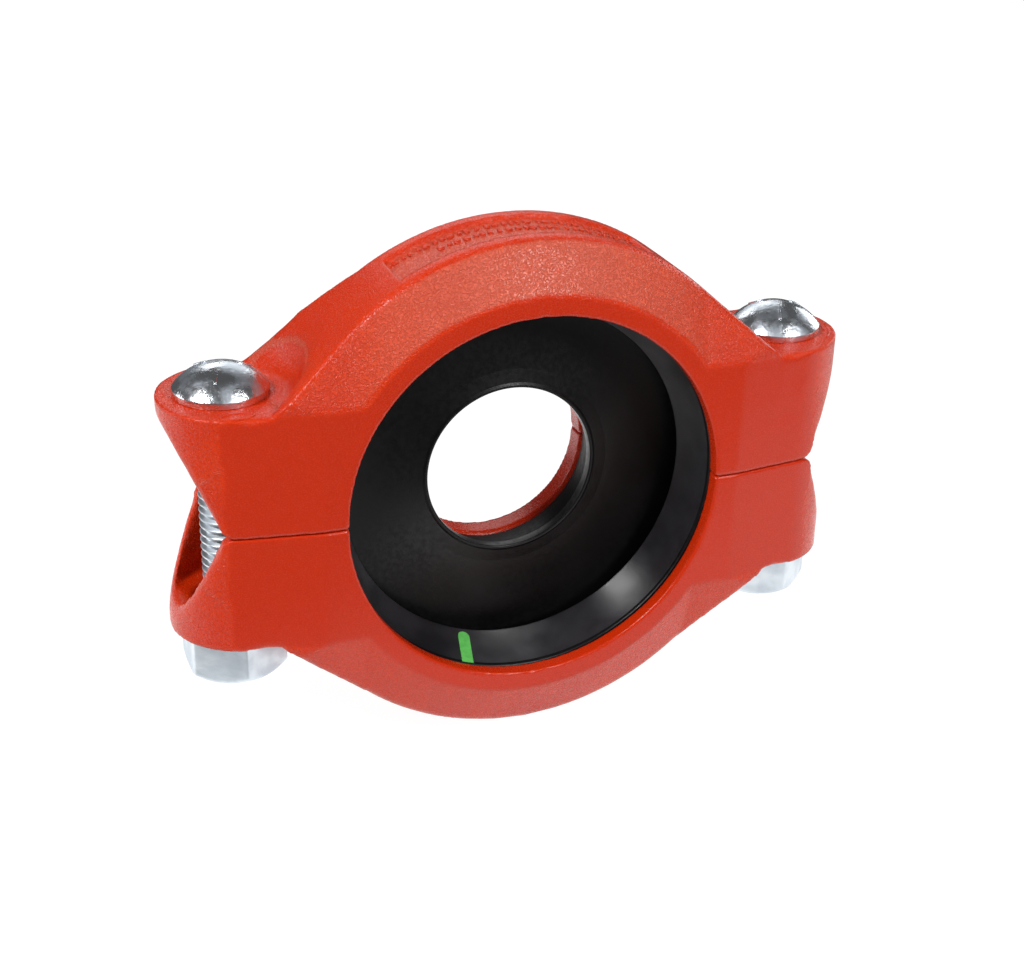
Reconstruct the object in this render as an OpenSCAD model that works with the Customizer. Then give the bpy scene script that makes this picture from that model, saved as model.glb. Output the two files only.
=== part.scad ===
// Grooved reducing coupling for a 4 in by 2 in joint (DN100 x DN50), in millimetres.
// The pipe axis is Y, with the large opening towards -Y. X runs from bolt to bolt and Z is up.
// The origin is on the pipe axis, in the plane of the two bolts and of the parting line.
// Both housing halves are the same casting: the lower one is turned half a turn about the pipe axis.

/* [Pipes] */
// Outside diameter of the large pipe
large_pipe_d = 114.3; // [112:0.1:118]
// Outside diameter of the small pipe
small_pipe_d = 60.3; // [56:0.1:64]
// Depth of the rolled groove in the large pipe, from its outside to the groove floor
large_groove_depth = 2.1; // [1.8:0.1:2.6]
// Depth of the rolled groove in the small pipe
small_groove_depth = 1.6; // [1.4:0.1:2.2]
// Radial clearance between a key and the floor of its groove
key_clearance = 0.35; // [0.2:0.05:0.8]

/* [Housing] */
// Width of the housing along the pipe axis
housing_w = 48; // [46:0.5:54]
// Width of the key on the large side
large_key_w = 5.4; // [4.8:0.1:6.4]
// Width of the key on the small side
small_key_w = 7.7; // [6:0.1:8.4]
// Radial room for the gasket outside the large pipe
large_room = 11.8; // [10:0.1:13]
// Radial room for the gasket outside the small pipe
small_room = 10.4; // [9:0.1:12]
// Distance from the bolt plane back to the step between the two gasket rooms
step_y = 5; // [4:0.25:6.5]
// Wall outside the large gasket room
wall = 6.75; // [5.5:0.25:9]
// Radial width of the flat face round the large opening
face_w = 5.4; // [4:0.2:7]
// Distance from the bolt plane forward to the front ridge of the crown
ridge_front = 17.5; // [15:0.5:19]
// Distance from the bolt plane back to the back ridge of the crown
ridge_back = 8.5; // [7:0.5:11]
// Slope of the shoulders that run from the crown down to the bolt pads
slope = 41.5; // [36:0.5:46]
// Backward lean of the bevel above the front of the ears
front_lean = 16.5; // [14:0.5:20]
// Forward lean of the bevel above the back of the ears
back_lean = 29.5; // [26:0.5:34]
// Wall outside the small gasket room
neck_wall = 6; // [5:0.25:8]
// Fall of the shoulder from the neck out to the back ridge
shoulder_fall = 6; // [4:0.5:8]
// Chamfer at the foot of the neck
neck_foot = 2; // [0.5:0.5:3]
// Gap at the parting line
split_gap = 0.5; // [0.3:0.05:1]

/* [Ears] */
// Height of the bolt pads above the parting plane
pad_z = 34.75; // [32:0.25:38]
// Thickness of the bolt pads
pad_t = 8.75; // [7:0.25:11]
// Gap between the bolt shank and the outside of the ring
shank_gap = 0.36; // [0.2:0.02:1]
// Distance from the bolt axis out to the tip of the ear
tip = 17.8; // [16.5:0.1:20]
// Distance from the pipe axis at which the walls of the ear begin to taper
taper_x = 62; // [58:0.5:66]
// Taper of each wall of the ear
taper = 7.6; // [5:0.2:9]
// Radius of the hollow round the bolt, inside the ear
well_r = 16; // [14:0.25:17]
// Radius of the pocket cut into the shoulder round the bolt head
head_pocket_r = 22.5; // [19:0.5:23]
// Distance from the bolt axis out to the foot of the leaning end of the ear
foot = 4.6; // [2:0.2:7]
// Lean of the end of the ear from the vertical
foot_lean = 23.7; // [18:0.5:26]
// Corner radius at the foot of the leaning end
foot_r = 4; // [2:0.5:5]

/* [Label recess] */
// Depth of the recess in the crown
recess_depth = 1.4; // [0.6:0.2:2]
// Half angle that the recess spans
recess_half = 29.3; // [20:0.5:36]
// Distance from the bolt plane forward to the front edge of the recess
recess_front = 12.5; // [9:0.5:14]
// Distance from the bolt plane back to the back edge of the recess
recess_back = 4.5; // [2:0.5:6]

/* [Gasket] */
// Clearance between the gasket and the housing
gasket_clearance = 0.3; // [0.2:0.05:0.6]
// Radius by which the tip of the large lip is smaller than the large pipe
large_lip_bite = 5.65; // [3:0.25:7]
// Radius by which the tip of the small lip is smaller than the small pipe
small_lip_bite = 2.1; // [1:0.1:3]
// Thickness of the lips
lip_t = 2.2; // [1.6:0.1:3]
// Thickness of the ring that backs the large lip
ring_t = 6; // [4:0.25:7]
// Thickness of the wall that closes the large ring at its key
end_t = 4.6; // [3.5:0.1:5.5]
// Thickness of the ring that backs the small lip
small_ring_t = 3.9; // [3:0.1:5]
// Thickness of the wall that closes the small ring at its key
small_end_t = 2.8; // [2:0.1:3.5]
// Distance of the mouth of each lip behind the edge of its key
lip_back = 0.5; // [0.2:0.1:1]
// Distance from the bolt plane forward to the tip of the large lip
lip_tip_y = 4; // [3:0.25:6]
// Distance from the web back to the tip of the small lip
small_lip_y = 3.4; // [2.5:0.1:4.5]
// Radius of the hole through the middle web
hole_r = 25.4; // [22:0.2:27]
// Height of the bead round that hole, above the web
bead_h = 1.5; // [0.8:0.1:2]
// Width of that bead
bead_w = 1.5; // [1:0.1:3]
// Thickness of the middle web at the hole
web_t = 2.2; // [1.6:0.1:3]
// Depth by which the front of the web is dished between the hole and its rim
dish = 1.6; // [0.4:0.1:2]
// Distance of the back of the web in front of the step between the two rings
web_inset = 1.2; // [0.6:0.1:2]

/* [Fasteners] */
// Thread diameter
bolt_d = 15.88; // [14:0.01:16.5]
// Length of the bolt under its head
bolt_l = 82.6; // [81:0.1:86]
// Diameter of the bolt head
head_d = 26.4; // [24:0.1:29]
// Height of the bolt head
head_h = 8.4; // [6:0.1:10]
// Height of the straight rim of the head
head_rim = 2; // [1:0.1:3]
// Long dimension of the oval neck under the head
neck_l = 20.6; // [18:0.1:22]
// Height of the oval neck
neck_h = 8; // [6:0.1:8.6]
// Clearance between the oval neck and its hole, each side
neck_clearance = 0.4; // [0.3:0.05:0.8]
// Chamfer at the end of the thread
bolt_chamfer = 1.4; // [0.8:0.1:2]
// Distance across the flats of the nut
nut_af = 27; // [25:0.1:28]
// Height of the nut
nut_h = 14.6; // [13:0.1:16]
// Diameter of the round face at each end of the nut
nut_face_d = 26.3; // [24:0.1:27]
// Height of the chamfer on the corners of the nut
nut_chamfer = 2; // [0.8:0.1:3]
// Radial clearance between the thread and the nut
thread_clearance = 0.05; // [0.03:0.01:0.1]
// Turn of the left nut about its bolt
left_nut_turn = 32; // [0:1:60]
// Turn of the right nut about its bolt
right_nut_turn = 40; // [0:1:60]

/* [Hidden] */
$fn = 96;
// Overrun of every cutter past the face that it opens
over = 1;
large_key_r = large_pipe_d / 2 - large_groove_depth + key_clearance;
small_key_r = small_pipe_d / 2 - small_groove_depth + key_clearance;
large_room_r = large_pipe_d / 2 + large_room;
small_room_r = small_pipe_d / 2 + small_room;
crown_r = large_room_r + wall;
face_r = large_key_r + face_w;
neck_r = small_room_r + neck_wall;
front_y = -housing_w / 2;
back_y = housing_w / 2;
large_key_y = front_y + large_key_w;
small_key_y = back_y - small_key_w;
// Chamfer on the inner corner of each key
key_chamfer = 1.2;
// Chamfers on the outer corners of the gasket and at the mouths of its lips, and the slant of the lip tips
ring_chamfer = 1;
mouth_chamfer = 0.7;
tip_slant = 0.3;
bolt_r = bolt_d / 2;
bolt_x = crown_r + shank_gap + bolt_r;
tip_x = bolt_x + tip;
foot_x = bolt_x + foot;
// A round end that touches both tapered walls and the tip
end_r = (back_y * cos(taper) - (tip_x - taper_x) * sin(taper)) / (1 - sin(taper));
end_x = tip_x - end_r;
// Where the shoulders leave the crown and where they meet the pads
leave_x = crown_r * sin(slope);
leave_z = crown_r * cos(slope);
pad_x = (crown_r - pad_z * cos(slope)) / sin(slope);

// A profile drawn as radius and distance along the pipe axis, turned about that axis
module about_pipe() { rotate([-90, 0, 0]) rotate_extrude() children(); }
// A shape drawn in X and Z, spread along the pipe axis
module along_pipe(w) { rotate([90, 0, 0]) linear_extrude(height = w, center = true) children(); }
// A shape drawn in Y and Z, spread from bolt to bolt
module across_pipe(w) { rotate([90, 0, 90]) linear_extrude(height = w, center = true) children(); }
module at_bolts() { for (side = [-1, 1]) translate([side * bolt_x, 0, 0]) children(); }
module oval(length, width, h) {
    reach = (length - width) / 2;
    for (side = [-1, 1]) translate([side * reach, 0, 0]) cylinder(d = width, h = h);
    translate([-reach, -width / 2, 0]) cube([2 * reach, width, h]);
}

// One half seen along the pipe: the crown, its shoulders and the bolt pads
module half_block() {
    along_pipe(housing_w) circle(r = crown_r);
    along_pipe(housing_w) polygon([
        [-tip_x, 0], [-tip_x, pad_z], [-pad_x, pad_z], [-leave_x, leave_z],
        [leave_x, leave_z], [pad_x, pad_z], [tip_x, pad_z], [tip_x, 0]]);
}

// Plan of the casting seen from above: straight over the ring, tapered along the ears, round at the tips
module plan() {
    touch_x = end_x + end_r * sin(taper);
    touch_y = end_r * cos(taper);
    polygon([
        [-touch_x, -touch_y], [-taper_x, front_y], [taper_x, front_y], [touch_x, -touch_y],
        [touch_x, touch_y], [taper_x, back_y], [-taper_x, back_y], [-touch_x, touch_y]]);
    for (side = [-1, 1]) translate([side * end_x, 0]) circle(r = end_r);
}

// Room for the pipes and the gasket, with the two keys left standing
module ring_bore() {
    about_pipe() polygon([
        [0, front_y - over], [large_key_r, front_y - over],
        [large_key_r, large_key_y - key_chamfer], [large_key_r + key_chamfer, large_key_y],
        [large_room_r, large_key_y], [large_room_r, step_y],
        [small_room_r, step_y], [small_room_r, small_key_y],
        [small_key_r + key_chamfer, small_key_y], [small_key_r, small_key_y + key_chamfer],
        [small_key_r, back_y + over], [0, back_y + over]]);
}

// Bevel on the front: a cone round the crown that runs out into a plane above each ear
module front_bevel() {
    rise = (front_y + ridge_front) / (face_r - crown_r);
    far_r = crown_r + tip;
    intersection() {
        about_pipe() polygon([
            [face_r, front_y], [far_r, front_y + rise * (far_r - face_r)],
            [far_r, front_y - over], [face_r, front_y - over]]);
        across_pipe(2 * far_r) polygon([
            [front_y, pad_z], [front_y + crown_r * tan(front_lean), pad_z + crown_r],
            [front_y - over, pad_z + crown_r], [front_y - over, pad_z]]);
    }
}

// Step on the back: a shoulder down to the neck of the small side, with a plane above each ear
module back_step() {
    far_r = crown_r + tip;
    intersection() {
        about_pipe() polygon([
            [neck_r, back_y + over], [neck_r, ridge_back + shoulder_fall + neck_foot],
            [neck_r + neck_foot, ridge_back + shoulder_fall],
            [crown_r, ridge_back], [far_r, ridge_back - over], [far_r, back_y + over]]);
        across_pipe(2 * far_r) polygon([
            [back_y, pad_z], [back_y - crown_r * tan(back_lean), pad_z + crown_r],
            [back_y + over, pad_z + crown_r], [back_y + over, pad_z]]);
    }
}

// Leaning cut that opens the end of each ear, with its foot rounded
module ear_ends() {
    centre_x = foot_x - foot_r * (1 - sin(foot_lean)) / cos(foot_lean);
    far_x = tip_x + over;
    for (side = [0, 1]) mirror([side, 0, 0]) along_pipe(housing_w + 2 * over) translate([0, split_gap / 2]) {
        polygon([
            [foot_x, -over], [foot_x, 0], [foot_x + pad_z * tan(foot_lean), pad_z],
            [far_x + pad_z * tan(foot_lean), pad_z], [far_x, -over]]);
        difference() {
            polygon([
                [centre_x, foot_r], [centre_x, -over], [foot_x, -over], [foot_x, 0],
                [centre_x + foot_r * cos(foot_lean), foot_r * (1 - sin(foot_lean))]]);
            translate([centre_x, foot_r]) circle(r = foot_r);
        }
    }
}

// Hollow round each bolt, open towards the parting plane and closed towards the ring
module ear_wells() {
    difference() {
        at_bolts() translate([0, 0, -over]) cylinder(r = well_r, h = pad_z - pad_t + over);
        along_pipe(housing_w) circle(r = crown_r);
    }
}

module label_recess() {
    reach = crown_r + over;
    intersection() {
        about_pipe() polygon([
            [crown_r - recess_depth, -recess_front], [reach, -recess_front],
            [reach, recess_back], [crown_r - recess_depth, recess_back]]);
        along_pipe(housing_w) polygon([
            [0, 0], [reach * tan(recess_half), reach], [-reach * tan(recess_half), reach]]);
    }
}

// The casting, used once for each half
module housing_half() {
    difference() {
        intersection() {
            half_block();
            translate([0, 0, split_gap / 2]) linear_extrude(height = crown_r) plan();
        }
        ring_bore();
        front_bevel();
        back_step();
        ear_ends();
        ear_wells();
        label_recess();
        at_bolts() translate([0, 0, pad_z]) cylinder(r = head_pocket_r, h = crown_r);
        at_bolts() oval(neck_l + 2 * neck_clearance, bolt_d + 2 * neck_clearance, pad_z + over);
    }
}

module upper_housing() { color([0.83, 0.23, 0.08]) housing_half(); }
module lower_housing() { color([0.83, 0.23, 0.08]) rotate([0, 180, 0]) housing_half(); }

// Points along the dished front of the web, from the bead out to the rim
function dished(r0, y0, r1, y1, steps = 8) = [for (i = [0 : steps])
    let (t = i / steps) [r0 + (r1 - r0) * t, y0 + (y1 - y0) * t + dish * sin(180 * t)]];

// One rubber ring: a lipped ring for the large pipe, a web with a hole, a lipped ring for the small pipe
module gasket() {
    large_r = large_room_r - gasket_clearance;
    small_r = small_room_r - gasket_clearance;
    front = large_key_y + gasket_clearance;
    back = small_key_y - gasket_clearance;
    step = step_y - gasket_clearance;
    large_tip = large_pipe_d / 2 - large_lip_bite;
    large_mouth = large_key_r + lip_back;
    small_tip = small_pipe_d / 2 - small_lip_bite;
    small_mouth = small_key_r + lip_back;
    web_back = step - web_inset;
    web_front = web_back - web_t;
    small_tip_y = web_back + small_lip_y;
    color([0.09, 0.09, 0.1]) about_pipe() polygon(concat(
        [[large_r - ring_chamfer, front], [large_r, front + ring_chamfer], [large_r, step], [small_r, step],
         [small_r, back - ring_chamfer], [small_r - ring_chamfer, back],
         [small_mouth + mouth_chamfer, back], [small_mouth, back - mouth_chamfer],
         [small_tip, small_tip_y], [small_tip + lip_t, small_tip_y - tip_slant],
         [small_mouth + lip_t, back - small_end_t], [small_r - small_ring_t, back - small_end_t],
         [small_r - small_ring_t, web_back], [hole_r, web_back],
         [hole_r, web_front - bead_h], [hole_r + bead_w, web_front - bead_h]],
        dished(hole_r + 2 * bead_w, web_front, large_r - ring_t, web_front),
        [[large_r - ring_t, front + end_t], [large_mouth + lip_t, front + end_t],
         [large_tip + lip_t, tip_slant - lip_tip_y], [large_tip, -lip_tip_y],
         [large_mouth, front + mouth_chamfer], [large_mouth + mouth_chamfer, front]]));
}

// A track bolt: domed head, oval neck that stops it turning, and the shank
module bolt() {
    cap_h = head_h - head_rim;
    cap_r = (head_d * head_d / 4 + cap_h * cap_h) / (2 * cap_h);
    color([0.78, 0.8, 0.83]) {
        cylinder(d = head_d, h = head_rim);
        intersection() {
            translate([0, 0, head_h - cap_r]) sphere(r = cap_r);
            cylinder(d = head_d, h = head_h);
        }
        translate([0, 0, -neck_h]) oval(neck_l, bolt_d, neck_h);
        translate([0, 0, bolt_chamfer - bolt_l]) cylinder(r = bolt_r, h = bolt_l - bolt_chamfer);
        translate([0, 0, -bolt_l]) cylinder(r1 = bolt_r - bolt_chamfer, r2 = bolt_r, h = bolt_chamfer);
    }
}

// A heavy hexagon nut, its corners chamfered down to a round face at both ends
module nut() {
    across_corners = nut_af / cos(30);
    far_d = nut_face_d + (across_corners - nut_face_d) * nut_h / nut_chamfer;
    color([0.72, 0.76, 0.8]) difference() {
        intersection() {
            cylinder(d = across_corners, h = nut_h, $fn = 6);
            cylinder(d1 = nut_face_d, d2 = far_d, h = nut_h);
            cylinder(d1 = far_d, d2 = nut_face_d, h = nut_h);
        }
        translate([0, 0, -over]) cylinder(r = bolt_r + thread_clearance, h = nut_h + 2 * over);
    }
}

module bolt_left() { translate([-bolt_x, 0, pad_z]) bolt(); }
module bolt_right() { translate([bolt_x, 0, pad_z]) bolt(); }
module nut_left() { translate([-bolt_x, 0, -pad_z - nut_h]) rotate([0, 0, left_nut_turn]) nut(); }
module nut_right() { translate([bolt_x, 0, -pad_z - nut_h]) rotate([0, 0, right_nut_turn]) nut(); }

upper_housing();
lower_housing();
gasket();
bolt_left();
bolt_right();
nut_left();
nut_right();
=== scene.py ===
"""Looks of the grooved reducing coupling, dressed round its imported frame.

The pipe axis is Y, with the large opening towards -Y, and the two bolts stand along Z.
Sizes are in millimetres and become metres through MM.
"""
import math
import random

import bmesh
import bpy
import numpy as np
from mathutils import Matrix, Vector, noise
from mathutils.bvhtree import BVHTree
from mathutils.kdtree import KDTree


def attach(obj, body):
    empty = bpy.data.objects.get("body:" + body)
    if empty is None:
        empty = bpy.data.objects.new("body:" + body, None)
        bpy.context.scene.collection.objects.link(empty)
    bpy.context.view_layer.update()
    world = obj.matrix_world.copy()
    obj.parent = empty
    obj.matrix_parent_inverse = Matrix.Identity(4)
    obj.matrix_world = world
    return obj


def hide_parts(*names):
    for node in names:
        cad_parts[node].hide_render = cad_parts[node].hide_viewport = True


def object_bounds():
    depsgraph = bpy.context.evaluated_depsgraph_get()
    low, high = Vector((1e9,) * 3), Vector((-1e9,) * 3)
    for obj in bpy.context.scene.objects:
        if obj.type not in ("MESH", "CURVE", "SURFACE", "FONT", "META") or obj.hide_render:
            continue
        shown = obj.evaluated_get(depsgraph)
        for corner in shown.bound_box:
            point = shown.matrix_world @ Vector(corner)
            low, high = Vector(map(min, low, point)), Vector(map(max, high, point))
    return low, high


MM = 0.001
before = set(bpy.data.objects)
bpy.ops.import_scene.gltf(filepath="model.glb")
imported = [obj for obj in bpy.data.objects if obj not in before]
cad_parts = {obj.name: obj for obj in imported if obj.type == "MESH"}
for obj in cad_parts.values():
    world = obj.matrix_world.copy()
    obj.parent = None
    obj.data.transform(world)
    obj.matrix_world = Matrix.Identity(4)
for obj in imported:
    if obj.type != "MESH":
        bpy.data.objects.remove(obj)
cad_box = [list(corner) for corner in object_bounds()]

# Camera, from a pinhole fitted to the photo
IMAGE_W = 1024
AZIMUTH = math.radians(20.74)
ELEVATION = math.radians(25.33)
ROLL = math.radians(1.28)
DISTANCE = 512.72
SHIFT_RIGHT = 0.52
SHIFT_UP = -2.69
FOCAL_PX = 1743.18
SENSOR_MM = 36

# Housing
CROWN_R = 75.7
FACE_R = 60.8
FRONT_Y = -24
RIDGE_FRONT_Y = -17.5
PAD_Z = 34.75
SLOPE = math.radians(41.5)
FRONT_LEAN = math.radians(16.5)
RECESS_DEPTH = 1.4
CALM_GRAIN = 0.06
BOLT_X = 84
POCKET_R = 22.5
CAST_VOXEL = 0.78

# Gasket, as radius and place along the pipe axis
RING_R = 68.65
RING_FRONT = -18.3
RING_STEP = 4.7
NECK_RING_R = 40.25
NECK_RING_BACK = 16
LIP_MOUTH_R = 55.9
LIP_TIP_R = 51.5
LIP_TIP_Y = -4
LIP_T = 2.2
HOLE_R = 25.4
WEB_FRONT = 1.3
WEB_BACK = 3.5
BEAD_H = 1.3
BEAD_W = 1.5
DISH = 1.6

# Bolts and nuts, and the points round each bolt
BOLT_R = 7.94
BOLT_L = 82.6
THREAD_PITCH = 2.309
THREAD_DEPTH = 1.25
THREAD_TOP_Z = 14
HEAD_R = 13.2
HEAD_H = 8.4
HEAD_RIM = 2
CAP_H = HEAD_H - HEAD_RIM
CAP_R = (HEAD_R ** 2 + CAP_H ** 2) / (2 * CAP_H)
NECK_L = 20.6
NECK_H = 8
NUT_VOXEL = 0.32
AROUND = 72

# Studio: the way from the camera over the floor, the strength of the dark room in reflections, and the
# distance of the lamps in metres
BEHIND = (math.sin(AZIMUTH), math.cos(AZIMUTH), 0)
DIM = 0.08
LAMP_DISTANCE = 1.2


def camera_axes():
    """Right, up and forward of the camera, and its place in millimetres."""
    forward = Vector((
        math.sin(AZIMUTH) * math.cos(ELEVATION),
        math.cos(AZIMUTH) * math.cos(ELEVATION),
        -math.sin(ELEVATION)))
    level = Vector((math.cos(AZIMUTH), -math.sin(AZIMUTH), 0))
    upright = level.cross(forward)
    right = level * math.cos(ROLL) + upright * math.sin(ROLL)
    up = upright * math.cos(ROLL) - level * math.sin(ROLL)
    place = right * SHIFT_RIGHT + up * SHIFT_UP - forward * DISTANCE
    return right, up, forward, place


def make_camera():
    """The scene's camera, in the photo's place and with its framing."""
    right, up, forward, place = camera_axes()
    data = bpy.data.cameras.new("camera")
    data.sensor_width = SENSOR_MM
    data.lens = FOCAL_PX * SENSOR_MM / IMAGE_W
    data.clip_start = 0.01
    data.clip_end = 20
    camera = bpy.data.objects.new("camera", data)
    turn = Matrix((right, up, -forward)).transposed().to_4x4()
    camera.matrix_world = Matrix.Translation(place * MM) @ turn
    bpy.context.scene.collection.objects.link(camera)
    bpy.context.scene.camera = camera


# Materials


def shader(name, color, roughness, metallic=0.0, specular=0.5):
    """A new material, its node tree and its Principled shader."""
    material = bpy.data.materials.new(name)
    material.use_nodes = True
    tree = material.node_tree
    body = tree.nodes["Principled BSDF"]
    body.inputs["Base Color"].default_value = (*color, 1)
    body.inputs["Roughness"].default_value = roughness
    body.inputs["Metallic"].default_value = metallic
    body.inputs["Specular IOR Level"].default_value = specular
    return material, tree, body


def object_noise(tree, waves_per_metre, detail=2.0, distortion=0.0):
    """Noise that is fixed to the piece, with so many waves in a metre."""
    place = tree.nodes.new("ShaderNodeTexCoord")
    grain = tree.nodes.new("ShaderNodeTexNoise")
    grain.inputs["Scale"].default_value = waves_per_metre
    grain.inputs["Detail"].default_value = detail
    grain.inputs["Distortion"].default_value = distortion
    tree.links.new(place.outputs["Object"], grain.inputs["Vector"])
    return grain.outputs["Fac"]


def ramp(tree, source, low, high, from_value, to_value):
    """Maps source from low..high to from_value..to_value, smoothly."""
    node = tree.nodes.new("ShaderNodeMapRange")
    node.interpolation_type = "SMOOTHSTEP"
    node.inputs["From Min"].default_value = low
    node.inputs["From Max"].default_value = high
    node.inputs["To Min"].default_value = from_value
    node.inputs["To Max"].default_value = to_value
    tree.links.new(source, node.inputs["Value"])
    return node.outputs["Result"]


def combined(tree, first, second, operation="MULTIPLY"):
    """One value from two: their product, or what the given operation makes of them."""
    node = tree.nodes.new("ShaderNodeMath")
    node.operation = operation
    tree.links.new(first, node.inputs[0])
    tree.links.new(second, node.inputs[1])
    return node.outputs[0]


def mixed_color(tree, factor, first, second):
    """Mixes two colours, each a plain triple or another node's output, by factor."""
    node = tree.nodes.new("ShaderNodeMix")
    node.data_type = "RGBA"
    sockets = [socket for socket in node.inputs if socket.type == "RGBA"]
    for socket, color in zip(sockets, (first, second)):
        if isinstance(color, tuple):
            socket.default_value = (*color, 1)
        else:
            tree.links.new(color, socket)
    tree.links.new(factor, node.inputs["Factor"])
    return next(socket for socket in node.outputs if socket.type == "RGBA")


def mottle(tree, body, cloud, first, second, spread=0.15):
    """Lets the base colour drift from the first to the second colour with a cloud of noise."""
    share = ramp(tree, cloud, 0.5 - spread, 0.5 + spread, 0, 1)
    tree.links.new(mixed_color(tree, share, first, second), body.inputs["Base Color"])


def bump(tree, height, distance_mm, below=None):
    """The normal over a height of so many millimetres, on top of the normal below it."""
    node = tree.nodes.new("ShaderNodeBump")
    node.inputs["Distance"].default_value = distance_mm * MM
    tree.links.new(height, node.inputs["Height"])
    if below is not None:
        tree.links.new(below, node.inputs["Normal"])
    return node.outputs["Normal"]


def enamel():
    """Orange-red enamel over sand-cast iron with a leathery grain. Its colour carries a pale painted
    sheen on the crests of the coarse grain, and painted shade in the grain's pits and on the calm faces.
    """
    material, tree, body = shader("enamel", (0.70, 0.035, 0.001), 0.3, specular=0.38)
    attribute = tree.nodes.new("ShaderNodeAttribute")
    attribute.attribute_name = "grain"
    grain = attribute.outputs["Fac"]
    cloud = object_noise(tree, 60, 3)
    leather = ramp(tree, object_noise(tree, 1500, 1.0, 0.8), 0.36, 0.64, 0, 1)
    fine = object_noise(tree, 2600, 2)

    cloud_share = ramp(tree, cloud, 0.35, 0.65, 0, 1)
    paint = mixed_color(tree, cloud_share, (0.72, 0.037, 0.001), (0.68, 0.031, 0.001))
    # Darker on the calm front faces, parting faces and bores: painted shade, as these faces get less
    # light
    painted_shade_share = ramp(tree, grain, CALM_GRAIN, 0.3, 0, 1)
    coat_with_painted_shade = mixed_color(tree, painted_shade_share, (0.61, 0.026, 0.0008), paint)
    # Darker in the hollows of the leathery grain: painted shade
    painted_pit_shade = combined(tree, ramp(tree, leather, 0, 1, 0.35, 0), grain)
    pit_shaded_coat = mixed_color(tree, painted_pit_shade, coat_with_painted_shade, (0.30, 0.012, 0.001))
    # Pale pink on the crests of the coarse grain, on the crown bevel and recess floor: a painted sheen
    # that stands for reflected light
    sheen_where_coarse = ramp(tree, grain, 0.5, 1.0, 0, 0.46)
    painted_sheen = combined(tree, sheen_where_coarse, ramp(tree, leather, 0, 1, 0.7, 1))
    tree.links.new(mixed_color(tree, painted_sheen, pit_shaded_coat, (0.85, 0.24, 0.15)), body.inputs["Base Color"])

    wrinkles = bump(tree, combined(tree, leather, grain), 0.26)
    dust = combined(tree, fine, ramp(tree, grain, CALM_GRAIN, 0.5, 0.3, 1))
    tree.links.new(bump(tree, dust, 0.025, below=wrinkles), body.inputs["Normal"])
    tree.links.new(ramp(tree, fine, 0.3, 0.7, 0.22, 0.30), body.inputs["Roughness"])
    return material


def rubber(name="rubber", specular=0.35):
    """Black moulded rubber."""
    material, tree, body = shader(name, (0.005, 0.005, 0.0055), 0.36, specular=specular)
    skin = object_noise(tree, 700, 4)
    cloud = object_noise(tree, 45, 2)
    mottle(tree, body, cloud, (0.004, 0.004, 0.0045), (0.0065, 0.0065, 0.007))
    tree.links.new(ramp(tree, skin, 0.3, 0.7, 0.30, 0.42), body.inputs["Roughness"])
    tree.links.new(bump(tree, skin, 0.02), body.inputs["Normal"])
    return material


def lip_rubber():
    """The same rubber on the large lip, a little lighter in colour than the rest, with a sheen across its
    moulding rings.
    """
    material, tree, body = shader("lip_rubber", (0.018, 0.018, 0.021), 0.34, specular=1.0)
    skin = object_noise(tree, 700, 3)
    cloud = object_noise(tree, 90, 3)
    mottle(tree, body, cloud, (0.014, 0.014, 0.017), (0.022, 0.022, 0.026))
    tree.links.new(ramp(tree, cloud, 0.3, 0.7, 0.29, 0.39), body.inputs["Roughness"])
    tree.links.new(bump(tree, skin, 0.01), body.inputs["Normal"])
    turned = tree.nodes.new("ShaderNodeTangent")
    turned.direction_type = "RADIAL"
    turned.axis = "Y"
    tree.links.new(turned.outputs["Tangent"], body.inputs["Tangent"])
    body.inputs["Anisotropic"].default_value = 0.9
    body.inputs["Anisotropic Rotation"].default_value = 0.25
    return material


def bright_zinc():
    """Bright zinc plating over a forged head, with its small dents."""
    material, tree, body = shader("bright_zinc", (0.78, 0.82, 0.87), 0.2, 1.0)
    dents = object_noise(tree, 650, 3, 0.3)
    cloud = object_noise(tree, 170, 3)
    tree.links.new(ramp(tree, cloud, 0.35, 0.65, 0.18, 0.38), body.inputs["Roughness"])
    mottle(tree, body, cloud, (0.84, 0.87, 0.91), (0.70, 0.77, 0.85), spread=0.2)
    tree.links.new(bump(tree, dents, 0.14), body.inputs["Normal"])
    return material


def pale_zinc():
    """Pale, duller zinc plating, on the nuts and the shanks."""
    material, tree, body = shader("pale_zinc", (0.66, 0.72, 0.78), 0.42, 1.0)
    dents = object_noise(tree, 420, 4)
    cloud = object_noise(tree, 120, 3)
    tree.links.new(ramp(tree, cloud, 0.35, 0.65, 0.34, 0.52), body.inputs["Roughness"])
    mottle(tree, body, cloud, (0.66, 0.71, 0.755), (0.58, 0.64, 0.70), spread=0.2)
    tree.links.new(bump(tree, dents, 0.06), body.inputs["Normal"])
    return material


def stripe_paint():
    """Flat green paint, a little uneven."""
    material, tree, body = shader("stripe_paint", (0.15, 0.66, 0.13), 0.5, specular=0.3)
    mottle(tree, body, object_noise(tree, 500, 2), (0.17, 0.72, 0.15), (0.14, 0.62, 0.12))
    return material


# Mesh helpers


def make_piece(name, mesh, material, body, slot, *stands_for):
    """A finished piece: its mesh in the frame's place, smooth, on a body."""
    piece = bpy.data.objects.new(name, mesh)
    bpy.context.scene.collection.objects.link(piece)
    mesh.materials.clear()
    mesh.materials.append(material)
    for face in mesh.polygons:
        face.use_smooth = True
    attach(piece, body)
    if stands_for:
        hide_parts(*stands_for)


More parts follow.
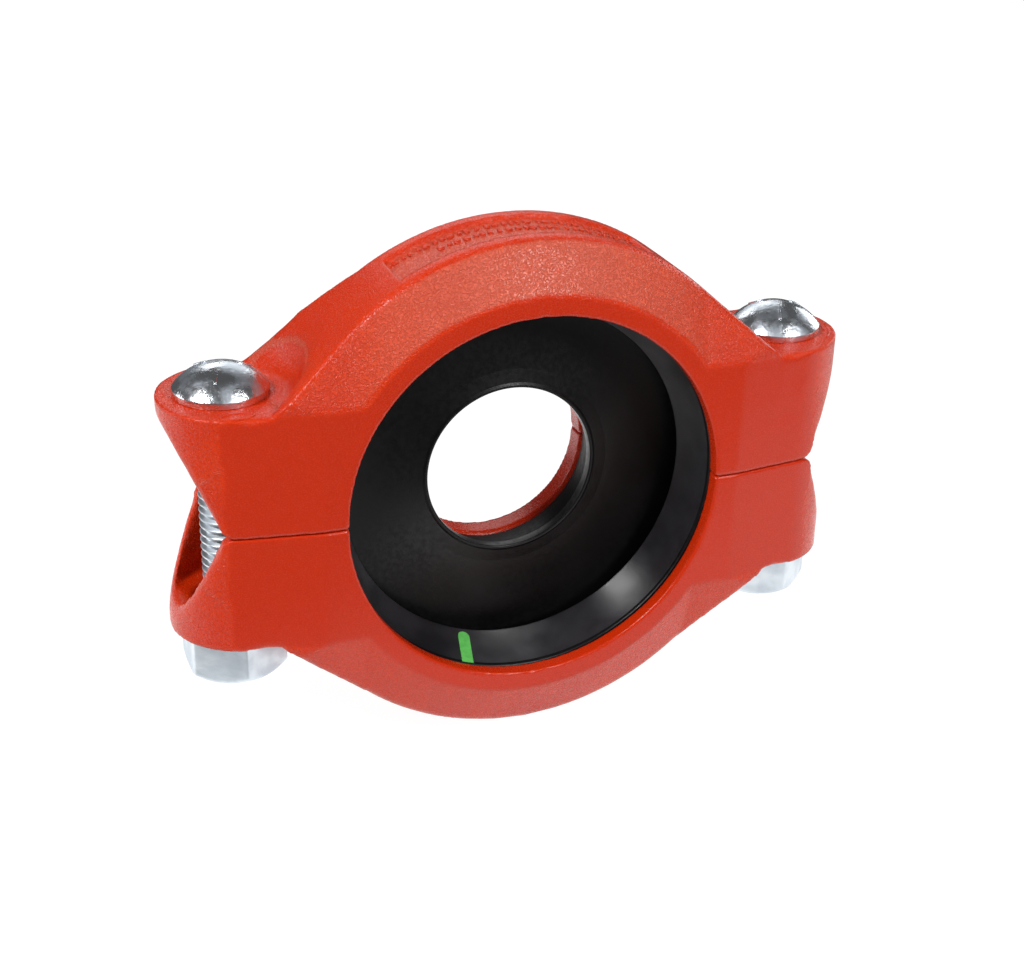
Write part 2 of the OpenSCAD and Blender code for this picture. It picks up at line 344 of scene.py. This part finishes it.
def grid_mesh(name, points, close_u=False, close_v=False):
    """A mesh from points[u][v], with its rows or columns closed into rings."""
    points = np.asarray(points, float)
    count_u, count_v = points.shape[:2]
    faces = []
    for u in range(count_u if close_u else count_u - 1):
        for v in range(count_v if close_v else count_v - 1):
            next_u, next_v = (u + 1) % count_u, (v + 1) % count_v
            faces.append((
                u * count_v + v, next_u * count_v + v, next_u * count_v + next_v, u * count_v + next_v))
    mesh = bpy.data.meshes.new(name)
    mesh.from_pydata((points.reshape(-1, 3) * MM).tolist(), [], faces)
    mesh.validate()
    return mesh


def face_outwards(mesh):
    """Turns all faces of a mesh to the outside."""
    shell = bmesh.new()
    shell.from_mesh(mesh)
    bmesh.ops.recalc_face_normals(shell, faces=shell.faces)
    shell.to_mesh(mesh)
    shell.free()


def rounded(corners, steps=5):
    """A closed outline from (a, b, radius) corners, each turned into an arc of its radius."""
    outline = []
    count = len(corners)
    for k, (a, b, radius) in enumerate(corners):
        here = Vector((a, b))
        before = Vector(corners[k - 1][:2]) - here
        after = Vector(corners[(k + 1) % count][:2]) - here
        if radius <= 0:
            outline.append((a, b))
            continue
        half = before.angle(after) / 2
        reach = min(radius / math.tan(half), before.length * 0.49, after.length * 0.49)
        radius = reach * math.tan(half)
        bisector = (before.normalized() + after.normalized()).normalized()
        centre = here + bisector * (radius / math.sin(half))
        start = here + before.normalized() * reach - centre
        end = here + after.normalized() * reach - centre
        turn = start.angle_signed(end)
        for i in range(steps + 1):
            spoke = Vector((start.x, start.y))
            spoke.rotate(Matrix.Rotation(-turn * i / steps, 2))
            outline.append(tuple(centre + spoke))
    return outline


def revolved(name, outline, segments, axis="Y"):
    """The outline (radius, place along the axis) turned about Y or Z."""
    rings = []
    for s in range(segments):
        angle = 2 * math.pi * s / segments
        c, n = math.cos(angle), math.sin(angle)
        rings.append([(r * c, p, r * n) if axis == "Y" else (r * c, r * n, p) for r, p in outline])
    mesh = grid_mesh(name, rings, close_u=True, close_v=True)
    face_outwards(mesh)
    return mesh


def evaluated(obj):
    """The mesh of obj with its modifiers applied."""
    graph = bpy.context.evaluated_depsgraph_get()
    return bpy.data.meshes.new_from_object(obj.evaluated_get(graph))


def coordinates(mesh):
    """The vertices of mesh as an array of (x, y, z) rows, in metres."""
    flat = np.empty(len(mesh.vertices) * 3)
    mesh.vertices.foreach_get("co", flat)
    return flat.reshape(-1, 3)


def neighbour_mean(mesh):
    """A function that gives, for one value per vertex, the mean over each vertex's neighbours."""
    ends = np.empty(len(mesh.edges) * 2, int)
    mesh.edges.foreach_get("vertices", ends)
    first, second = ends.reshape(-1, 2).T
    count = len(mesh.vertices)
    degree = np.bincount(first, minlength=count) + np.bincount(second, minlength=count)
    degree = np.maximum(degree, 1)

    def mean(values):
        total = np.bincount(first, values[second], count) + np.bincount(second, values[first], count)
        return total / degree

    return mean


def relax(mesh, weights, rounds):
    """Rounds edges: moves each vertex towards its neighbours' mean, by its weight, again and again."""
    co = coordinates(mesh)
    mean = neighbour_mean(mesh)
    for _ in range(rounds):
        co += (np.stack([mean(co[:, k]) for k in range(3)], 1) - co) * weights[:, None]
    mesh.vertices.foreach_set("co", co.ravel())


def sharp_points(shell, step_mm=0.2, least_deg=14):
    """A search tree of points along the sharp edges of a shell."""
    points = []
    for edge in shell.edges:
        if len(edge.link_faces) == 2 and edge.calc_face_angle() > math.radians(least_deg):
            first, last = edge.verts[0].co, edge.verts[1].co
            count = max(1, math.ceil((last - first).length / (step_mm * MM)))
            points += [first.lerp(last, k / count) for k in range(count + 1)]
    tree = KDTree(len(points))
    for index, point in enumerate(points):
        tree.insert(point, index)
    tree.balance()
    return tree


def remeshed(source, voxel_mm):
    """An even skin over a CAD node, rebuilt at one grain and then laid back on its faces and edges."""
    shell = bmesh.new()
    shell.from_mesh(source.data)
    bmesh.ops.remove_doubles(shell, verts=shell.verts, dist=1e-6)
    exact = BVHTree.FromBMesh(shell)
    sharp = sharp_points(shell)
    joined = bpy.data.meshes.new("joined")
    shell.to_mesh(joined)
    shell.free()
    helper = bpy.data.objects.new("helper", joined)
    bpy.context.scene.collection.objects.link(helper)
    remesh = helper.modifiers.new("remesh", "REMESH")
    remesh.mode = "VOXEL"
    remesh.voxel_size = voxel_mm * MM
    mesh = evaluated(helper)
    bpy.data.objects.remove(helper)
    edge_reach = 0.75 * voxel_mm * MM
    for vertex in mesh.vertices:
        edge_point, _, away = sharp.find(vertex.co)
        vertex.co = edge_point if away < edge_reach else exact.find_nearest(vertex.co)[0]
    return mesh


# Housing


def outer_distance(x, z):
    """Distance outside the crown and its shoulders, seen along the pipe."""
    x = np.abs(x)
    crown = np.hypot(x, z) - CROWN_R
    shoulder = x * math.sin(SLOPE) + z * math.cos(SLOPE) - CROWN_R
    return np.where(x < CROWN_R * math.sin(SLOPE), crown, shoulder)


def bevel_distances(x, y, z):
    """Distances in front of the bevel's two parts: the cone round the crown, the plane above the ears."""
    cone_tilt = math.atan2(RIDGE_FRONT_Y - FRONT_Y, CROWN_R - FACE_R)
    cone = (np.hypot(x, z) - FACE_R) * math.sin(cone_tilt) - (y - FRONT_Y) * math.cos(cone_tilt)
    plane = (z - PAD_Z) * math.sin(FRONT_LEAN) - (y - FRONT_Y) * math.cos(FRONT_LEAN)
    return cone, plane


def near(distance, reach):
    """1 where the distance is nought, falling softly to 0 at reach."""
    share = np.clip(1 - np.abs(distance) / reach, 0, 1)
    return share * share * (3 - 2 * share)


def cast_half():
    """The casting in the upper half's place, with soft edges, wells, ridge and pockets."""
    mesh = remeshed(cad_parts["upper_housing"], CAST_VOXEL)
    x, y, z = coordinates(mesh).T / MM

    # All edges a little, and less at the parting line
    relax(mesh, np.where(z < 1.1, 0.12, 0.3), 2)

    # The rims of the hollows round the bolts
    well = (np.abs(x) > BOLT_X - 10) & (np.abs(y) < 19) & (z < PAD_Z - 3)
    relax(mesh, 0.5 * well * np.clip((z - 0.4) / 2, 0, 1), 16)

    # The front ridge, and more round the crown
    cone, plane = bevel_distances(x, y, z)
    ridge = np.hypot(outer_distance(x, z), np.minimum(cone, plane))
    ridge_share = near(ridge, 3.4) * (z > PAD_Z + 2)
    relax(mesh, 0.5 * ridge_share, 10)
    relax(mesh, 0.5 * ridge_share * (cone < plane), 14)

    # The rim and the foot of the pocket round each head
    inner_side = np.abs(x) < BOLT_X
    pocket = np.hypot(np.abs(x) - BOLT_X, y) - POCKET_R
    behind_ridge = np.clip((y + 17) / 5, 0, 1) * inner_side * (z > PAD_Z - 1)
    relax(mesh, 0.5 * near(pocket, 8) * behind_ridge, 150)
    foot = np.hypot(pocket, z - PAD_Z)
    relax(mesh, 0.5 * near(foot, 2.5) * inner_side, 12)

    unevenness(mesh)
    return mesh


def unevenness(mesh):
    """Moves the cast skin in and out by a few hundredths of a millimetre, inside its own box."""
    wave_mm, depth_mm = 7, 0.05
    co = coordinates(mesh)
    normals = np.array([vertex.normal for vertex in mesh.vertices])
    swell = np.array([noise.noise(Vector(place) / (wave_mm * MM)) for place in co])
    free = np.clip((co[:, 2] / MM - 1.5) / 3, 0, 1)
    low, high = co.min(0), co.max(0)
    co += normals * (swell * free * depth_mm * MM)[:, None]
    mesh.vertices.foreach_set("co", np.clip(co, low, high).ravel())


def set_grain(mesh, crown=1.0, ear=0.6):
    """Grain weights: strong on the bevels, calm on the flat front, the parting faces and the bores. The
    enamel also paints its sheen where they are coarse and its shade where they are calm.
    """
    x, y, z = coordinates(mesh).T / MM
    facing_front = np.array([vertex.normal.y for vertex in mesh.vertices]) < -0.93
    ear_front = facing_front & (y < FRONT_Y + 6) & (z < PAD_Z)
    cone, plane = bevel_distances(x, y, z)
    outside = outer_distance(x, z)
    crown_share = np.clip(0.5 + (plane - cone) / 4, 0, 1)
    # Strongest at the top of the crown, which also puts the most painted sheen there
    crown_grain_and_sheen = crown * (0.76 + 0.24 * near(x, 55))
    zones = (
        (ear_front, CALM_GRAIN),
        (y < FRONT_Y + 0.2, CALM_GRAIN),
        (z < 0.6, CALM_GRAIN),
        (np.hypot(x, z) < FACE_R - 3, 0.15),
        (np.abs(np.minimum(cone, plane)) < 0.5, ear + (crown_grain_and_sheen - ear) * crown_share),
        # The recess floor's strong weight also gives it the painted sheen
        (np.abs(outside + RECESS_DEPTH) < 0.5, 0.8),
        (np.abs(outside) < 0.6, 0.3))
    weight = np.select([zone for zone, _ in zones], [grain for _, grain in zones], 0.38)
    mean = neighbour_mean(mesh)
    for _ in range(3):
        weight = 0.5 * (weight + mean(weight))
    attribute = mesh.attributes.new("grain", "FLOAT", "POINT")
    attribute.data.foreach_set("value", weight.astype(np.float32))


def make_housings(paint):
    """Both halves are one casting, and the lower one, seen from above, has the calmer bevels."""
    upper = cast_half()
    lower = upper.copy()
    set_grain(upper)
    set_grain(lower, crown=0.3, ear=0.3)
    lower.transform(Matrix.Rotation(math.pi, 4, "Y"))
    make_piece("cast_upper_half", upper, paint, "upper_half", "housing", "upper_housing")
    make_piece("cast_lower_half", lower, paint, "lower_half", "housing", "lower_housing")


# Marks cast into the recess and on the pads


def bar(length, width, height, radius=0.25):
    """A low raised bar with rounded top edges, lying on z = 0 and centred, as corner loops."""
    sink = 0.4
    levels = (
        (0, -sink), (0, height - radius), (radius * 0.3, height - radius * 0.3), (radius, height))
    loops = []
    for inset, level in levels:
        a, b = length / 2 - inset, width / 2 - inset
        c = min(a, b) * 0.45
        loops.append([
            (-a + c, -b, level), (a - c, -b, level), (a, -b + c, level), (a, b - c, level),
            (a - c, b, level), (-a + c, b, level), (-a, b - c, level), (-a, -b + c, level)])
    return loops


def add_bar(shell, loops, place):
    """Adds a bar's loops to the shell, moved by a matrix, as a closed block."""
    rows = [[shell.verts.new(place @ Vector(p)) for p in loop] for loop in loops]
    for low, high in zip(rows, rows[1:]):
        for k in range(8):
            shell.faces.new((low[k], low[(k + 1) % 8], high[(k + 1) % 8], high[k]))
    shell.faces.new(rows[-1])
    shell.faces.new(rows[0][::-1])


def add_bead(shell, path, radius, closed=False):
    """Adds a half-round bead along a path of (x, y) points on the pad."""
    sides = 6
    sink = 0.1
    count = len(path)
    rings = []
    for k in range(count):
        before = Vector(path[k - 1 if closed or k else k])
        after = Vector(path[(k + 1) % count if closed or k + 1 < count else k])
        along = (after - before).normalized()
        across = Vector((-along.y, along.x))
        here = Vector(path[k])
        ring = []
        for i in range(sides + 1):
            angle = math.pi * i / sides
            foot = here + across * radius * math.cos(angle)
            ring.append(shell.verts.new((foot.x, foot.y, PAD_Z - sink + radius * math.sin(angle))))
        rings.append(ring)
    for k in range(count if closed else count - 1):
        low, high = rings[k], rings[(k + 1) % count]
        for i in range(sides):
            shell.faces.new((low[i], low[i + 1], high[i + 1], high[i]))
        shell.faces.new((low[sides], low[0], high[0], high[sides]))
    if not closed:
        shell.faces.new(rings[0])
        shell.faces.new(rings[-1][::-1])


def arc(centre, radii, start_deg, end_deg, steps):
    """Points (x, y) on an upright ellipse, from one angle to another, both ends included."""
    points = []
    for k in range(steps + 1):
        angle = math.radians(start_deg + (end_deg - start_deg) * k / steps)
        points.append((centre[0] + radii[0] * math.cos(angle), centre[1] + radii[1] * math.sin(angle)))
    return points


def add_blocks(shell):
    """Adds two rows of plain raised blocks on the recess floor, each an arc from one angle to another."""
    chance = random.Random(4)
    floor_r = CROWN_R - RECESS_DEPTH
    height = 0.6
    for row_y, start, end in ((1.0, -29, 30), (-4.0, -18, 25)):
        angle = start
        while angle < end:
            length, width = chance.choice((1.1, 1.4, 1.9)), chance.choice((1.6, 2.1, 2.6))
            turn = Matrix.Rotation(math.radians(angle), 4, "Y")
            add_bar(shell, bar(length, width, height), turn @ Matrix.Translation((0, row_y, floor_r)))
            angle += math.degrees((length + chance.choice((0.8, 0.9, 1.6))) / floor_r)


def add_pad_beads(shell):
    """Adds a plain oval ring on the left pad and two plain arcs on the right one."""
    oval = arc((-BOLT_X + 0.6, -18), (4.4, 2.1), 0, 360, 40)[:-1]
    add_bead(shell, oval, 0.42, closed=True)
    for reach, start, end in ((16.2, -46, -8), (14.6, -24, 4)):
        add_bead(shell, arc((BOLT_X, 0), (reach, reach), start, end, 16), 0.4)


def recess_marks(on_pads):
    """The blocks in the recess, and if asked the beads on the pads, as one mesh."""
    shell = bmesh.new()
    add_blocks(shell)
    if on_pads:
        add_pad_beads(shell)
    mesh = bpy.data.meshes.new("recess_marks")
    bmesh.ops.scale(shell, vec=(MM, MM, MM), verts=shell.verts)
    bmesh.ops.recalc_face_normals(shell, faces=shell.faces)
    shell.to_mesh(mesh)
    shell.free()
    return mesh


def make_marks(paint):
    """Blocks in both recesses, and beads on the upper half's pads."""
    upper, lower = recess_marks(True), recess_marks(False)
    for mesh in (upper, lower):
        set_grain(mesh)
    lower.transform(Matrix.Rotation(math.pi, 4, "Y"))
    make_piece("upper_recess_marks", upper, paint, "upper_half", "housing")
    make_piece("lower_recess_marks", lower, paint, "lower_half", "housing")


# Gasket


def dished_points(inner_r, outer_r, base, depth, steps=24):
    """Outline points across a web that is dished by a depth between two radii."""
    return [
        (inner_r + (outer_r - inner_r) * k / steps, base + depth * math.sin(math.pi * k / steps), 0)
        for k in range(1, steps)]


def lip_radius(y):
    """Inner radius of the large lip: nearly straight at the mouth, curling in towards its tip."""
    deep = (y - RING_FRONT) / (LIP_TIP_Y - RING_FRONT)
    return LIP_MOUTH_R + (LIP_TIP_R - LIP_MOUTH_R) * (0.1 * deep + 0.9 * deep * deep)


def gasket_outline():
    """The gasket's section from its outside round the neck, the small lip, the web and the large lip."""
    ring_inner = RING_R - 6
    ring_end = RING_FRONT + 4.6
    neck_inner = NECK_RING_R - 3.9
    neck_end = NECK_RING_BACK - 2.8
    neck_mouth = 29.4
    neck_tip = 28.05
    neck_tip_y = WEB_BACK + 3.4
    fillet = 5.5
    tip_slant = 0.3
    bead_top = WEB_FRONT - BEAD_H
    corners = [
        (RING_R, RING_FRONT, 1.0), (RING_R, RING_STEP, 0.4), (NECK_RING_R, RING_STEP, 0.4),
        (NECK_RING_R, NECK_RING_BACK, 1.0), (neck_mouth, NECK_RING_BACK, 0.7),
        (neck_tip, neck_tip_y, 0.4), (neck_tip + LIP_T, neck_tip_y - tip_slant, 0.4),
        (neck_mouth + LIP_T, neck_end, 0.8), (neck_inner, neck_end, 0.8),
        (neck_inner, WEB_BACK, 0.8), (HOLE_R, WEB_BACK, 0.5),
        (HOLE_R, bead_top, 0.4), (HOLE_R + 0.8, bead_top, 0.35),
        (HOLE_R + BEAD_W, WEB_FRONT - 0.9, 0.6), (HOLE_R + fillet, WEB_FRONT, 5)]
    corners += dished_points(HOLE_R + fillet, ring_inner, WEB_FRONT, DISH)
    corners += [
        (ring_inner, WEB_FRONT, 1.0), (ring_inner, ring_end, 0.8), (LIP_MOUTH_R + LIP_T, ring_end, 0.8),
        (LIP_TIP_R + LIP_T, LIP_TIP_Y + tip_slant, 0.5), (LIP_TIP_R, LIP_TIP_Y, 0.35)]
    along_lip = np.linspace(LIP_TIP_Y - 0.8, RING_FRONT + 1.4, 14).tolist()
    corners += [(lip_radius(y), y, 0) for y in along_lip]
    corners.append((LIP_MOUTH_R, RING_FRONT, 0.7))
    return rounded(corners)


def make_gasket(skin, lip_skin, neck_skin):
    """The whole gasket, with other skins inside the large lip and in the neck."""
    mesh = revolved("gasket_ring", gasket_outline(), 288)
    make_piece("gasket_ring", mesh, skin, "lower_half", "gasket", "gasket")
    x, y, z = coordinates(mesh).T / MM
    radius = np.hypot(x, z)
    on_lip = np.abs(radius - lip_radius(y)) < 0.2
    lip = on_lip & (y > RING_FRONT + 1) & (y < LIP_TIP_Y - 0.3)
    neck = (radius < NECK_RING_R - 2) & (y > WEB_BACK - 0.6)
    for slot, (other, zone) in enumerate(((lip_skin, lip), (neck_skin, neck)), start=1):
        mesh.materials.append(other)
        for face in mesh.polygons:
            if all(zone[index] for index in face.vertices):
                face.material_index = slot


def make_stripe(paint):
    """The green grade stripe on the large lip, with a round inner end, a hair proud of the rubber.

    Its place is a share of the way from the lip's tip to its mouth.
    """
    half_width = 1.9
    inner_share, outer_share = 0.08, 0.955
    proud = 0.05
    rows, columns = 40, 10
    points = []
    slant = math.hypot(LIP_MOUTH_R - LIP_TIP_R, RING_FRONT - LIP_TIP_Y)
    for i in range(rows + 1):
        share = inner_share + (outer_share - inner_share) * i / rows
        from_end = (share - inner_share) * slant
        reach = half_width * math.sqrt(max(0.0, 1 - max(0.0, 1 - from_end / half_width) ** 2))
        middle = math.radians(-17.9 + 0.2 * share - 2 * share * share)
        y = LIP_TIP_Y + (RING_FRONT - LIP_TIP_Y) * share
        r = lip_radius(y) - proud
        row = []
        for j in range(columns + 1):
            angle = middle + (2 * j / columns - 1) * reach / r
            row.append((r * math.sin(angle), y, -r * math.cos(angle)))
        points.append(row)
    mesh = grid_mesh("grade_stripe", points)
    face_outwards(mesh)
    make_piece("grade_stripe", mesh, paint, "lower_half", "stripe")


# Bolts and nuts


def head_outline():
    """Domed head with a straight rim, from its underside up, as radius and height above the pad."""
    centre_r = 0.02
    steps = 40
    widest = math.asin(HEAD_R / CAP_R)
    dome = []
    for k in range(1, steps):
        angle = widest * (1 - k / steps)
        dome.append((CAP_R * math.sin(angle), HEAD_H - CAP_R + CAP_R * math.cos(angle), 0))
    rim = [(centre_r, 0, 0), (HEAD_R, 0, 0.35), (HEAD_R, HEAD_RIM, 0.5)]
    return rounded(rim + dome + [(centre_r, HEAD_H, 0)])


def thread_points(low, high):
    """Rows round a right-hand thread, from low to high, where it fades into the plain shank."""
    per_pitch = 12
    rows = int((high - low) / THREAD_PITCH * per_pitch)
    chamfer = 1.4
    crest, flank_width = 0.12, 0.72
    points = []
    for i in range(rows + 1):
        z = low + (high - low) * i / rows
        fade = min(1.0, max(0.0, (high - z) / (1.5 * THREAD_PITCH)))
        end_r = BOLT_R - chamfer + (z - low)
        ring = []
        for j in range(AROUND):
            angle = 2 * math.pi * j / AROUND
            share = (z / THREAD_PITCH - j / AROUND) % 1
            flank = min(1.0, max(0.0, (abs(2 * share - 1) - crest) / flank_width))
            r = min(BOLT_R - THREAD_DEPTH * fade * flank, end_r)
            ring.append((r * math.cos(angle), r * math.sin(angle), z))
        points.append(ring)
    return points


def capped(points):
    """The rows of points with a centre point before and after, which closes both ends."""
    first = [(0, 0, points[0][0][2])] * len(points[0])
    last = [(0, 0, points[-1][0][2])] * len(points[0])
    return [first] + points + [last]


def oval_points(length, width, levels):
    """Rows round an oval prism whose size changes with its level, from (inset, z) pairs."""
    reach = (length - width) / 2
    rows = []
    for inset, z in levels:
        r = width / 2 - inset
        row = []
        for j in range(AROUND):
            angle = 2 * math.pi * j / AROUND
            side = reach if math.cos(angle) >= 0 else -reach
            row.append((side + r * math.cos(angle), r * math.sin(angle), z))
        rows.append(row)
    return rows


def head_marks(place):
    """Three short raised ticks spread round the dome."""
    shell = bmesh.new()
    centre = Matrix.Translation(place + Vector((0, 0, HEAD_H - CAP_R)))
    tilt = Matrix.Rotation(math.radians(24), 4, "Y")
    lift = Matrix.Translation((0, 0, CAP_R))
    for side_deg in (250, 370, 490):
        spread = Matrix.Rotation(math.radians(side_deg), 4, "Z")
        add_bar(shell, bar(4.6, 0.8, 0.25, 0.15), centre @ spread @ tilt @ lift)
    return shell


def joined_mesh(name, meshes, shells=()):
    """One mesh from several meshes in metres and shells in millimetres."""
    whole = bmesh.new()
    for shell in shells:
        part = bpy.data.meshes.new("part")
        bmesh.ops.scale(shell, vec=(MM, MM, MM), verts=shell.verts)
        shell.to_mesh(part)
        shell.free()
        whole.from_mesh(part)
    for part in meshes:
        whole.from_mesh(part)
    bmesh.ops.remove_doubles(whole, verts=whole.verts, dist=1e-7)
    bmesh.ops.recalc_face_normals(whole, faces=whole.faces)
    mesh = bpy.data.meshes.new(name)
    whole.to_mesh(mesh)
    whole.free()
    return mesh


def make_bolt(side, x, bright, dull):
    """A bright head over a dull neck, shank and thread, which reach into each other."""
    seat = Vector((x, 0, PAD_Z))
    width = 2 * BOLT_R
    chamfer = 0.8
    thread_top = THREAD_TOP_Z - PAD_Z
    head = revolved("head", head_outline(), 120, "Z")
    neck_rows = oval_points(NECK_L, width, ((chamfer, -NECK_H), (0, chamfer - NECK_H), (0, 0.1)))
    shank_rows = oval_points(width, width, ((0, thread_top - 0.2), (0, -1)))
    neck = grid_mesh("neck", capped(neck_rows), close_v=True)
    shank = grid_mesh("shank", capped(shank_rows), close_v=True)
    thread = grid_mesh("thread", capped(thread_points(-BOLT_L, thread_top)), close_v=True)
    for part in (head, neck, shank, thread):
        part.transform(Matrix.Translation(seat * MM))
    mesh = joined_mesh(f"track_bolt_{side}", [head], [head_marks(seat)])
    make_piece(f"track_bolt_{side}", mesh, bright, "upper_half", "bolt", f"bolt_{side}")
    mesh = joined_mesh(f"bolt_shank_{side}", [neck, shank, thread])
    make_piece(f"bolt_shank_{side}", mesh, dull, "upper_half", "bolt")


def make_nut(side, plating):
    """The CAD nut with soft edges."""
    mesh = remeshed(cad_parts[f"nut_{side}"], NUT_VOXEL)
    relax(mesh, np.full(len(mesh.vertices), 0.5), 6)
    make_piece(f"heavy_nut_{side}", mesh, plating, f"nut_{side}", "nut", f"nut_{side}")


# Floor and light


def see_background(tree, camera=1.0):
    """1 for glossy and transmission rays, a share for camera rays, and 0 for light on the object."""
    rays = tree.nodes.new("ShaderNodeLightPath")
    total = ramp(tree, rays.outputs["Is Camera Ray"], 0, 1, 0, camera)
    for name in ("Is Glossy Ray", "Is Transmission Ray"):
        total = combined(tree, total, rays.outputs[name], "MAXIMUM")
    return total


def only_camera(tree, reflected, seen=1.0):
    """The seen strength for camera rays, and the reflected value or output for the rest."""
    rays = tree.nodes.new("ShaderNodeLightPath")
    node = tree.nodes.new("ShaderNodeMapRange")
    tree.links.new(rays.outputs["Is Camera Ray"], node.inputs["Value"])
    node.inputs["To Max"].default_value = seen
    if isinstance(reflected, float):
        node.inputs["To Min"].default_value = reflected
    else:
        tree.links.new(reflected, node.inputs["To Min"])
    return node.outputs["Result"]


def along(tree, socket, direction):
    """How far the point or direction on the socket reaches along a direction."""
    node = tree.nodes.new("ShaderNodeVectorMath")
    node.operation = "DOT_PRODUCT"
    node.inputs[1].default_value = direction
    tree.links.new(socket, node.inputs[0])
    return node.outputs["Value"]


def make_floor():
    """A pale floor under the lower crown that shows white and keeps a soft shadow.

    In reflections it is a white table, which ends a little in front of the object and behind it.
    """
    shadow_share = 0.16
    seen_strength = 1.15
    table_strength = 1.35
    size = 4
    z = cad_box[0][2]
    corners = [(-size, -size, z), (size, -size, z), (size, size, z), (-size, size, z)]
    mesh = bpy.data.meshes.new("floor")
    mesh.from_pydata(corners, [], [(0, 1, 2, 3)])
    floor = bpy.data.objects.new("floor", mesh)
    bpy.context.scene.collection.objects.link(floor)
    material, tree, body = shader("floor", (0.72, 0.72, 0.72), 1.0, specular=0)
    white = tree.nodes.new("ShaderNodeEmission")
    place = tree.nodes.new("ShaderNodeTexCoord")
    reach = along(tree, place.outputs["Object"], BEHIND)
    front_end = ramp(tree, reach, -0.14, -0.07, DIM, 1)
    back_end = ramp(tree, reach, 0.15, 0.4, table_strength, DIM)
    table = combined(tree, front_end, back_end)
    tree.links.new(only_camera(tree, table, seen_strength), white.inputs["Strength"])
    mix = tree.nodes.new("ShaderNodeMixShader")
    tree.links.new(see_background(tree, 1 - shadow_share), mix.inputs[0])
    tree.links.new(body.outputs[0], mix.inputs[1])
    tree.links.new(white.outputs[0], mix.inputs[2])
    tree.links.new(mix.outputs[0], tree.nodes["Material Output"].inputs["Surface"])
    mesh.materials.append(material)


def make_world():
    """White for the camera, dim in reflections, and a plain fill for the object."""
    fill = 0.14
    world = bpy.data.worlds.new("studio")
    bpy.context.scene.world = world
    world.use_nodes = True
    tree = world.node_tree
    lit = tree.nodes["Background"]
    lit.inputs["Color"].default_value = (1, 1, 1, 1)
    lit.inputs["Strength"].default_value = fill
    seen = tree.nodes.new("ShaderNodeBackground")
    seen.inputs["Color"].default_value = (1, 1, 1, 1)
    tree.links.new(only_camera(tree, DIM), seen.inputs["Strength"])
    mix = tree.nodes.new("ShaderNodeMixShader")
    tree.links.new(see_background(tree), mix.inputs[0])
    tree.links.new(lit.outputs[0], mix.inputs[1])
    tree.links.new(seen.outputs[0], mix.inputs[2])
    tree.links.new(mix.outputs[0], tree.nodes["World Output"].inputs["Surface"])


def make_light(name, side_deg, height_deg, size, power, tall=None):
    """A soft light of so many watts, turned from the camera's side and raised above the horizon."""
    around = AZIMUTH + math.radians(180 - side_deg)
    height = math.radians(height_deg)
    level = math.cos(height)
    away = Vector((math.sin(around) * level, math.cos(around) * level, math.sin(height)))
    data = bpy.data.lights.new(name, "AREA")
    data.shape = "RECTANGLE"
    data.size = size
    data.size_y = tall or size
    data.energy = power
    light = bpy.data.objects.new(name, data)
    light.visible_camera = False
    light.location = away * LAMP_DISTANCE
    light.rotation_mode = "QUATERNION"
    light.rotation_quaternion = away.to_track_quat("Z", "Y")
    bpy.context.scene.collection.objects.link(light)


make_camera()
red = enamel()
make_housings(red)
make_marks(red)
make_gasket(rubber(), lip_rubber(), rubber("neck_rubber", 0.08))
make_stripe(stripe_paint())
zinc = bright_zinc()
dull_zinc = pale_zinc()
for side, x in (("left", -BOLT_X), ("right", BOLT_X)):
    make_bolt(side, x, zinc, dull_zinc)
    make_nut(side, dull_zinc)
make_floor()
make_world()
make_light("left_box", -52, 47, 0.3, 9.0)
make_light("right_box", 58, 49, 0.3, 3.6)
make_light("right_low", 42, 26, 0.26, 4.2)
make_light("back_box", 188, 29, 0.9, 2.2, tall=0.5)
make_light("rear_right", 138, 12, 0.5, 2.6)
make_light("rear_left", 264, 10, 0.5, 2.0)
bpy.context.scene.view_settings.view_transform = "Standard"
